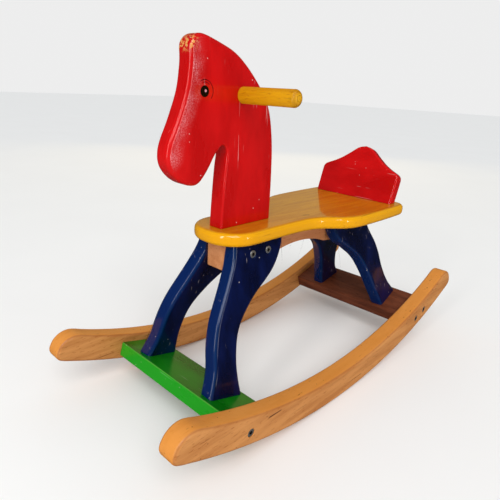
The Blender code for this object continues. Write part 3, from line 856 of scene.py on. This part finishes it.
# %% Group: wood grain
grain, inlet, outlet = new_group(
    "wood grain",
    [("Vector", "Vector"), ("Light", "Color"), ("Dark", "Color")],
    [("Color", "Color"), ("Height", "Float"), ("Fibre", "Float")],
)
along_grain = inlet.outputs["Vector"]
bands = noise(grain, stretch(grain, along_grain, (0.10, 1, 1)), 70, 3, 0.6)
fibres = noise(grain, stretch(grain, along_grain, (0.04, 1, 1)), 620, 2, 0.6)
flecks = noise(grain, stretch(grain, along_grain, (0.22, 1, 1)), 420, 1)
broad = noise(grain, stretch(grain, along_grain, (0.4, 1, 1)), 9, 2)
lightness = maths(
    grain, "ADD", remap(grain, bands, 0.36, 0.64, 0, 0.5), maths(grain, "MULTIPLY", fibres, 0.3)
)
lightness = maths(grain, "ADD", lightness, maths(grain, "MULTIPLY", broad, 0.4))
lightness = maths(grain, "SUBTRACT", lightness, remap(grain, flecks, 0.62, 0.74, 0, 0.55))
tinted = blend_colour(grain, lightness, inlet.outputs["Dark"], inlet.outputs["Light"])
grain.links.new(tinted, outlet.inputs["Color"])
grain.links.new(maths(grain, "ADD", fibres, lightness), outlet.inputs["Height"])
grain.links.new(fibres, outlet.inputs["Fibre"])
print("wood grain:", len(grain.nodes), "nodes")

# %% [markdown]
# ### Wear and painted light along the edges
# Hands and floors rub a toy on its rounded edges. On a flat board those are the places where the
# surface faces neither along the board's axis nor square to it. With d as the part of the surface's
# direction that runs along the axis, 1 - |2dd - 1| is 0 on the flats and on the sawn sides, and 1 in
# the middle of the rounding. The sawn sides, where d is near 0, are a second mask, which gives them a
# colour of their own. Noise breaks that band up. A pointiness mask would do the same, but it depends
# on how fine the mesh is. Both masks also carry painted light: a painted highlight on the blue legs'
# edges and sides, painted shade on the hand bar's ends, and painted light on the runners' top and
# bottom faces.

# %% Group: edge wear
wear, inlet, outlet = new_group(
    "edge wear and light",
    [("Vector", "Vector"), ("Axis", "Vector"), ("Amount", "Float"), ("Scale", "Float")],
    [("Edge", "Float"), ("Worn", "Float"), ("Side", "Float")],
)
facing = add(wear, "NewGeometry").outputs["Normal"]
dot = add(wear, "VectorMath", {0: facing, 1: inlet.outputs["Axis"]}, operation="DOT_PRODUCT")
square = maths(wear, "MULTIPLY", dot.outputs["Value"], dot.outputs["Value"])
double = maths(wear, "SUBTRACT", maths(wear, "MULTIPLY", square, 2.0), 1.0)
edge_mask = maths(wear, "SUBTRACT", 1.0, maths(wear, "ABSOLUTE", double))
patches = noise(wear, inlet.outputs["Vector"], inlet.outputs["Scale"], 6, 0.65)
level = maths(wear, "ADD", maths(wear, "MULTIPLY", edge_mask, inlet.outputs["Amount"]), patches)
wear.links.new(edge_mask, outlet.inputs["Edge"])
wear.links.new(remap(wear, level, 0.83, 0.90), outlet.inputs["Worn"])
wear.links.new(remap(wear, square, 0.5, 0.05), outlet.inputs["Side"])
print("edge wear and light:", len(wear.nodes), "nodes")

# %% [markdown]
# ### Marks in the paint
# Old gloss paint is never even. It has slow changes of depth, thin runs and scratches
# along the board, and small pale specks where a knock has chipped it.

# %% Group: paint film
film, inlet, outlet = new_group(
    "paint film",
    [("Vector", "Vector"), ("Scratches", "Float"), ("Specks", "Float")],
    [("Depth", "Float"), ("Mark", "Float"), ("Height", "Float")],
)
along_board = inlet.outputs["Vector"]
depth = noise(film, stretch(film, along_board, (0.35, 1, 1)), 26, 4, 0.6)
runs = noise(film, stretch(film, along_board, (0.018, 1, 1)), 330, 2, 0.5)
breaks = noise(film, along_board, 24, 2)
lines = maths(film, "MULTIPLY", remap(film, runs, 0.66, 0.72), remap(film, breaks, 0.52, 0.60))
dots = add(film, "TexVoronoi", {"Vector": along_board, "Scale": 95.0})
chips = maths(film, "SUBTRACT", 1.0, remap(film, dots.outputs["Distance"], 0.05, 0.11))
rare = noise(film, along_board, 70, 1)
chips = maths(film, "MULTIPLY", chips, remap(film, rare, 0.58, 0.62))
marks = maths(
    film,
    "MAXIMUM",
    maths(film, "MULTIPLY", lines, inlet.outputs["Scratches"]),
    maths(film, "MULTIPLY", chips, inlet.outputs["Specks"]),
)
ripple = noise(film, stretch(film, along_board, (0.25, 1, 1)), 55, 2)
film.links.new(depth, outlet.inputs["Depth"])
film.links.new(marks, outlet.inputs["Mark"])
height = maths(film, "SUBTRACT", ripple, maths(film, "MULTIPLY", marks, 0.4))
film.links.new(height, outlet.inputs["Height"])
print("paint film:", len(film.nodes), "nodes")


# %% [markdown]
# ### Starting a finish
# Every finish reads Object coordinates. The pieces sit at the origin, so these are the
# horse's own coordinates, and two boards never show the same patch of pattern. A Mapping
# node turns the pattern until its X runs along the board's grain.

# %% Shared start of each material
grain_turn = {
    "x": (0, 0, 0),
    "y": (0, 0, math.radians(-90)),
    "z": (0, math.radians(90), 0),
}


def new_finish(name, grain_along):
    """A material with its shader and its turned coordinates."""
    material = bpy.data.materials.new(name)
    material.use_nodes = True
    tree = material.node_tree
    shader = tree.nodes["Principled BSDF"]
    shader.inputs["Specular IOR Level"].default_value = 0.12
    place = add(tree, "TexCoord").outputs["Object"]
    turned = add(tree, "Mapping", {"Vector": place, "Rotation": grain_turn[grain_along]})
    return material, tree, shader, place, turned.outputs["Vector"]


def place_group(tree, group, inputs):
    node = tree.nodes.new("ShaderNodeGroup")
    node.node_tree = group
    for name, value in inputs.items():
        if isinstance(value, bpy.types.NodeSocket):
            tree.links.new(value, node.inputs[name])
        else:
            node.inputs[name].default_value = value
    return node.outputs


def bump(tree, shader, height, strength, distance=0.0004):
    inputs = {"Height": height, "Strength": strength, "Distance": distance}
    tree.links.new(add(tree, "Bump", inputs).outputs["Normal"], shader.inputs["Normal"])


def coat(shader, weight, roughness):
    shader.inputs["Coat Weight"].default_value = weight
    shader.inputs["Coat Roughness"].default_value = roughness


# %% [markdown]
# ### Opaque paint
# Two shades of one colour are mixed by the depth of the paint. The rounded edges mix towards an edge
# colour, and the sawn sides towards a side colour. On the red the edges are a little lighter, where
# the paint is thin; on the blue legs the lighter edges and sides are a painted highlight. Where it is
# worn through, bare or dirty wood shows, and the chips and scratches are nearly white. Gloss paint is
# a clear coat over a rougher base.


# %% Gloss paint
def gloss_paint(name, deep, thin, edge, axis, grain_along, *, bare=colour(196, 140, 96),
                mark=colour(235, 220, 215), side=None, side_share=0.0, worn=0.2,
                edge_share=0.5, scratches=0.5, specks=0.8, coat_roughness=0.08, ripple=0.25):
    material, tree, shader, place, turned = new_finish(name, grain_along)
    paint = place_group(tree, film, {"Vector": turned, "Scratches": scratches, "Specks": specks})
    wear_and_light = place_group(tree, wear, {"Vector": place, "Axis": axis, "Amount": worn, "Scale": 60.0})
    tone = remap(tree, paint["Depth"], 0.35, 0.65)
    base = blend_colour(tree, tone, deep, thin)
    # On the blue legs the side and edge colours below are a painted highlight.
    base = blend_colour(tree, maths(tree, "MULTIPLY", wear_and_light["Side"], side_share), base, side or thin)
    base = blend_colour(tree, maths(tree, "MULTIPLY", wear_and_light["Edge"], edge_share), base, edge)
    base = blend_colour(tree, wear_and_light["Worn"], base, bare)
    base = blend_colour(tree, paint["Mark"], base, mark)
    tree.links.new(base, shader.inputs["Base Color"])
    rough = maths(tree, "ADD", remap(tree, paint["Depth"], 0.3, 0.7, 0.26, 0.36),
                  maths(tree, "MULTIPLY", wear_and_light["Worn"], 0.3))
    tree.links.new(rough, shader.inputs["Roughness"])
    bump(tree, shader, paint["Height"], ripple)
    coat(shader, 0.6, coat_roughness)
    return material


# %% [markdown]
# ### Stained and oiled wood
# Here the grain shows through. The same edge mask darkens the edges, where stain soaks in and dirt
# collects, and breaks the colour where it is worn. On the hand bar the darker edge colour is painted
# shade on its rounded ends, and on the runners the lighter side colour is painted light on their top
# and bottom faces.


# %% Clear-finished wood
def clear_wood(name, light, dark, axis, grain_along, *, edge=colour(120, 70, 40),
               edge_share=0.25, side=None, side_share=0.0, mark=colour(60, 35, 25),
               worn=0.12, specks=0.25, rough=(0.38, 0.52), gloss=0.2, coat_roughness=0.25, relief=0.3):
    material, tree, shader, place, turned = new_finish(name, grain_along)
    wood = place_group(tree, grain, {"Vector": turned, "Light": light, "Dark": dark})
    marks = place_group(tree, film, {"Vector": turned, "Scratches": specks, "Specks": specks})
    wear_and_light = place_group(tree, wear, {"Vector": place, "Axis": axis, "Amount": worn, "Scale": 45.0})
    # On the runners the side colour is painted light; on the hand bar the edge colour is painted
    # shade.
    sides = maths(tree, "MULTIPLY", wear_and_light["Side"], side_share)
    base = blend_colour(tree, sides, wood["Color"], side or light)
    base = blend_colour(tree, maths(tree, "MULTIPLY", wear_and_light["Edge"], edge_share), base, edge)
    base = blend_colour(tree, maths(tree, "MULTIPLY", wear_and_light["Worn"], 0.7), base, mark)
    base = blend_colour(tree, marks["Mark"], base, mark)
    tree.links.new(base, shader.inputs["Base Color"])
    tree.links.new(remap(tree, wood["Fibre"], 0.3, 0.7, *rough), shader.inputs["Roughness"])
    bump(tree, shader, wood["Height"], relief)
    coat(shader, gloss, coat_roughness)
    return material


def dress(material, slot, *pieces):
    """Gives pieces this material alone; the slot argument is not used."""
    for piece in pieces:
        piece.data.materials.clear()
        piece.data.materials.append(material)


# %% [markdown]
# ### The red head and backrest
# A full signal red. The head's front and forehead are rubbed through in small chips.

# %% Red paint
red_deep, red_thin, red_edge = colour(180, 4, 7), colour(200, 10, 12), colour(204, 30, 32)
head_red = gloss_paint("red_paint_head", red_deep, red_thin, red_edge, across, "z",
                       worn=0.13, scratches=0.45, specks=0.7)
dress(head_red, "red_paint", made["head"])
back_red = gloss_paint("red_paint_back", red_deep, red_thin, red_edge, forward, "x",
                       worn=0.16, scratches=0.2, specks=0.4)
dress(back_red, "red_paint", made["backrest"])

# %% [markdown]
# A milky, speckled sheen is painted along the front of the face, on both sides: a painted highlight
# where each flat side catches the light near its rounded edge. The forehead's corner is chipped down
# to the wood. The sheen follows the face, so its mask is the distance to a few points on the head's
# own front.

# %% Painted sheen and chips on the head
def distance_to(tree, place, y, z):
    """How far each place on a side of the head is from this point on its outline."""
    flat = stretch(tree, place, (0, 1, 1))
    inputs = {0: flat, 1: (0, y, z)}
    return add(tree, "VectorMath", inputs, operation="DISTANCE").outputs["Value"]


def front_of_head(height):
    return min(v.co.y for v in made["head"].data.vertices if abs(v.co.z - height) < 0.006)


tree = head_red.node_tree
shader = tree.nodes["Principled BSDF"]
place = add(tree, "TexCoord").outputs["Object"]
nearest = 1.0
for height in (0.400, 0.415, 0.430, 0.445, 0.460, 0.478, 0.496, 0.514, 0.530):
    nearest = maths(tree, "MINIMUM", nearest, distance_to(tree, place, front_of_head(height), height))
speckle = remap(tree, noise(tree, place, 520, 3, 0.7), 0.36, 0.68)
drift = remap(tree, noise(tree, place, 38, 2), 0.35, 0.65, 0.15, 1.0)
sideways = add(tree, "SeparateXYZ", {0: add(tree, "NewGeometry").outputs["Normal"]}).outputs["X"]
on_flat = remap(tree, maths(tree, "ABSOLUTE", sideways), 0.90, 0.99)
# Painted highlight: a milky, speckled sheen on the flat sides near the face's front.
painted_sheen = maths(tree, "MULTIPLY", remap(tree, nearest, 0.030, 0.008), on_flat)
painted_sheen = maths(tree, "MULTIPLY", painted_sheen, maths(tree, "MULTIPLY", speckle, drift))
painted = shader.inputs["Base Color"].links[0].from_socket
painted = blend_colour(tree, maths(tree, "MULTIPLY", painted_sheen, 0.6), painted, colour(228, 160, 164))
forehead = distance_to(tree, place, front_of_head(0.530), 0.536)
chipped = maths(tree, "MULTIPLY", remap(tree, forehead, 0.016, 0.004),
                remap(tree, noise(tree, place, 260, 3), 0.50, 0.56))
painted = blend_colour(tree, chipped, painted, colour(214, 150, 84))
tree.links.new(painted, shader.inputs["Base Color"])

# %% [markdown]
# ### The blue legs
# Navy gloss, so deep that it is nearly black in the shade. The rounded edges and the narrow faces are
# painted a clearer, lighter blue: a painted highlight, the reflection of a bright sky. The front edges
# carry the white chips.

# %% Blue paint
# The third blue is a painted highlight for the rounded edges.
blue_deep, blue_thin, blue_edge_highlight = colour(0, 13, 42), colour(1, 22, 66), colour(4, 62, 112)
for side, outward in (("left", 1), ("right", -1)):
    axis = (outward * math.cos(splay), 0, math.sin(splay))
    # Painted highlight: the side colour lightens the legs' narrow faces.
    blue = gloss_paint(f"blue_paint_{side}", blue_deep, blue_thin, blue_edge_highlight, axis, "z",
                       bare=colour(205, 205, 200), side=colour(0, 38, 88), side_share=0.75,
                       worn=0.13, edge_share=0.4, scratches=0.2, specks=0.6)
    dress(blue, "blue_paint", made[f"front_leg_{side}"], made[f"rear_leg_{side}"])

# %% [markdown]
# ### The cross boards
# The front board is a bright leaf green whose front edge is rubbed pale. The rear one is
# stained dark brown, and its grain still shows.

# %% Green paint and brown stain
green = gloss_paint("green_paint", colour(14, 100, 12), colour(26, 122, 22), colour(120, 186, 84),
                    board_normal["front"], "x", side=colour(34, 150, 32), side_share=0.9,
                    bare=colour(206, 190, 140), worn=0.2, edge_share=0.5, scratches=0.2,
                    specks=0.3, coat_roughness=0.2)
dress(green, "green_paint", made["front_cross_board"])
brown = clear_wood("brown_stain", colour(120, 66, 44), colour(74, 38, 26), board_normal["rear"],
                   "x", edge=colour(60, 30, 20), edge_share=0.5, gloss=0.3)
dress(brown, "brown_stain", made["rear_cross_board"])

# %% [markdown]
# ### Amber lacquer
# The seat's thick yellow lacquer is the glossiest finish here: grain shows through it on
# top, and its rounded edge, where it pools, is the strongest yellow.

# %% Amber lacquer
amber = clear_wood("amber_lacquer", colour(206, 136, 18), colour(176, 98, 8), upward, "y",
                   edge=colour(232, 166, 6), edge_share=0.9, side=colour(226, 158, 4),
                   side_share=0.9, mark=colour(96, 52, 14),
                   worn=0.02, specks=0.35, rough=(0.30, 0.40), gloss=1.0,
                   coat_roughness=0.06, relief=0.12)
dress(amber, "amber_lacquer", made["seat"])

# %% A dark scratch in the lacquer
tree = amber.node_tree
shader = tree.nodes["Principled BSDF"]
place = add(tree, "TexCoord").outputs["Object"]
scratch_height = 0.2855
scratch_place = (0.0376, -0.0069, cad_low.z + scratch_height)
drawn = add(tree, "Mapping", {
    "Vector": place, "Location": scratch_place, "Rotation": (0, 0, math.radians(65)),
    "Scale": (0.010, 0.0022, 0.02),
}, vector_type="TEXTURE").outputs["Vector"]
off = add(tree, "VectorMath", {0: drawn}, operation="LENGTH").outputs["Value"]
ragged = maths(tree, "ADD", off, maths(tree, "MULTIPLY", noise(tree, place, 420, 3), 1.2))
scratch = remap(tree, ragged, 1.5, 1.2, 0, 0.85)
lacquered = shader.inputs["Base Color"].links[0].from_socket
tree.links.new(blend_colour(tree, scratch, lacquered, colour(58, 26, 10)), shader.inputs["Base Color"])

# %% [markdown]
# ### Beech and the ochre bar
# The runners are oiled beech, orange-brown, with dark marks where they have been knocked. Their top
# and bottom faces are painted lighter and more orange: painted light from above.
# The beam is bare and paler. The hand bar is stained ochre, and its rounded ends are painted darker:
# painted shade.

# %% Beech
# Painted light: the side colour lightens the runners' top and bottom faces, as if lit from above.
runner_wood = clear_wood("oiled_beech", colour(206, 142, 82), colour(166, 102, 52), across, "y",
                         edge=colour(150, 84, 38), edge_share=0.5, side=colour(220, 140, 56),
                         side_share=0.7, mark=colour(74, 40, 24), worn=0.17, specks=0.9,
                         gloss=0.35, coat_roughness=0.2)
dress(runner_wood, "oiled_beech", made["runner_left"], made["runner_right"])
beam_wood = clear_wood("plain_beech", colour(206, 142, 96), colour(176, 108, 66), across, "y",
                       edge_share=0.15, worn=0.02, specks=0.1, gloss=0.05)
dress(beam_wood, "plain_beech", made["seat_beam"])
# Painted shade: the edge colour darkens the bar's rounded ends.
bar_wood = clear_wood("ochre_stain", colour(222, 162, 16), colour(186, 122, 10), across, "x",
                      edge=colour(150, 92, 12), edge_share=0.5, worn=0.05, specks=0.5,
                      gloss=0.4)
dress(bar_wood, "ochre_stain", made["handle"])

# %% [markdown]
# ### Steel
# Zinc-plated steel is light grey with a faint mottle. The socket walls and floors get a near-black
# material instead: painted shade. The fasteners are the imported nodes themselves, which keep their
# shape and get this finish.

# %% Zinc-plated steel
steel, tree, shader, place, turned = new_finish("zinc_steel", "x")
mottle = noise(tree, place, 900, 3)
tree.links.new(blend_colour(tree, remap(tree, mottle, 0.35, 0.65), colour(184, 184, 180),
                            colour(232, 232, 226)), shader.inputs["Base Color"])
tree.links.new(remap(tree, mottle, 0.3, 0.7, 0.42, 0.60), shader.inputs["Roughness"])
shader.inputs["Metallic"].default_value = 1.0
bump(tree, shader, mottle, 0.15, 0.0001)
dress(steel, "zinc_steel", *caps)
for name, node in nodes.items():
    if name not in made:
        node.data.materials.clear()
        node.data.materials.append(beam_wood if "dowel" in name else steel)
print("steel on", len(nodes) - len(made), "hidden fasteners and", len(caps), "heads")

# %% Painted shade in the sockets
shade_material, tree, shader, place, turned = new_finish("socket_painted_shade", "x")
shade_mottle = noise(tree, place, 700, 2)
# Painted shade: the socket walls and floor are near-black.
tinted = blend_colour(tree, shade_mottle, colour(10, 9, 9), colour(44, 38, 34))
tree.links.new(tinted, shader.inputs["Base Color"])
tree.links.new(remap(tree, shade_mottle, 0.3, 0.7, 0.6, 0.8), shader.inputs["Roughness"])
socket_radius = 0.0038
for cap in caps:
    cap.data.materials.append(shade_material)
    rim = max(abs(v.co.x) for v in cap.data.vertices)
    middle = sum((v.co for v in cap.data.vertices), Vector()) / len(cap.data.vertices)
    for face in cap.data.polygons:
        from_axis = (face.center - middle).yz.length
        if from_axis < socket_radius and abs(face.center.x) < rim - 0.0001:
            face.material_index = 1

# %% Black eye paint
black, tree, shader, place, turned = new_finish("eye_black", "x")
smudge = noise(tree, place, 300, 3)
tinted = blend_colour(tree, smudge, colour(3, 2, 3), colour(16, 9, 10))
tree.links.new(tinted, shader.inputs["Base Color"])
tree.links.new(remap(tree, smudge, 0.3, 0.7, 0.2, 0.4), shader.inputs["Roughness"])
coat(shader, 0.1, 0.15)
for piece in eyes:
    piece.data.materials.append(black)

# %% Brow paint, thinned until the red shows through
umber, tree, shader, place, turned = new_finish("brow_brown", "x")
smudge = noise(tree, place, 420, 3)
tree.links.new(blend_colour(tree, remap(tree, smudge, 0.4, 0.6), colour(60, 4, 4), colour(128, 8, 8)),
               shader.inputs["Base Color"])
tree.links.new(remap(tree, smudge, 0.3, 0.7, 0.3, 0.5), shader.inputs["Roughness"])
for piece in lashes:
    piece.data.materials.append(umber)

# %% The pink light in each eye
pink, tree, shader, place, turned = new_finish("eye_light", "x")
smudge = noise(tree, place, 500, 2)
tinted = blend_colour(tree, smudge, colour(176, 92, 104), colour(222, 160, 168))
tree.links.new(tinted, shader.inputs["Base Color"])
tree.links.new(remap(tree, smudge, 0.3, 0.7, 0.25, 0.4), shader.inputs["Roughness"])
for piece in lights_in_eyes:
    piece.data.materials.append(pink)

# %% [markdown]
# ### The floor
# Matt, pale and nearly even, so that it only carries the shadows. Photographers lay dark
# cloth where a glossy thing would mirror a white floor. Here the floor itself turns dark,
# but only for glossy rays.

# %% Floor paint
pale, tree, shader, place, turned = new_finish("pale_floor", "x")
cloud = noise(tree, place, 3, 3)
tinted = blend_colour(tree, cloud, colour(240, 240, 239), colour(244, 244, 243))
tree.links.new(tinted, shader.inputs["Base Color"])
shader.inputs["Roughness"].default_value = 0.9
dark_cloth = add(tree, "BsdfDiffuse", {"Color": (0.05, 0.05, 0.05, 1)})
chosen = add(tree, "MixShader", {
    0: add(tree, "LightPath").outputs["Is Glossy Ray"],
    1: shader.outputs["BSDF"],
    2: dark_cloth.outputs["BSDF"],
})
tree.links.new(chosen.outputs[0], tree.nodes["Material Output"].inputs["Surface"])
floor.data.materials.append(pale)

# %% [markdown]
# ## Riding on the frame
# The real horse has no moving joint: it rocks as one rigid thing. So every new piece rides on the one
# body, and where it stands for an imported node, that node is hidden.

# %% Ride and replace
for node, piece in made.items():
    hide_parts(node)
    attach(piece, "root")
for piece in eyes + lashes + lights_in_eyes:
    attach(piece, "root")

# %% Sizes
low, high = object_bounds()
sizes = {"cad": [list(cad_low), list(cad_high)], "visual": [list(low), list(high)]}
print("grew by, in mm:", [round(1000 * v, 2) for v in (high - low) - (cad_high - cad_low)])
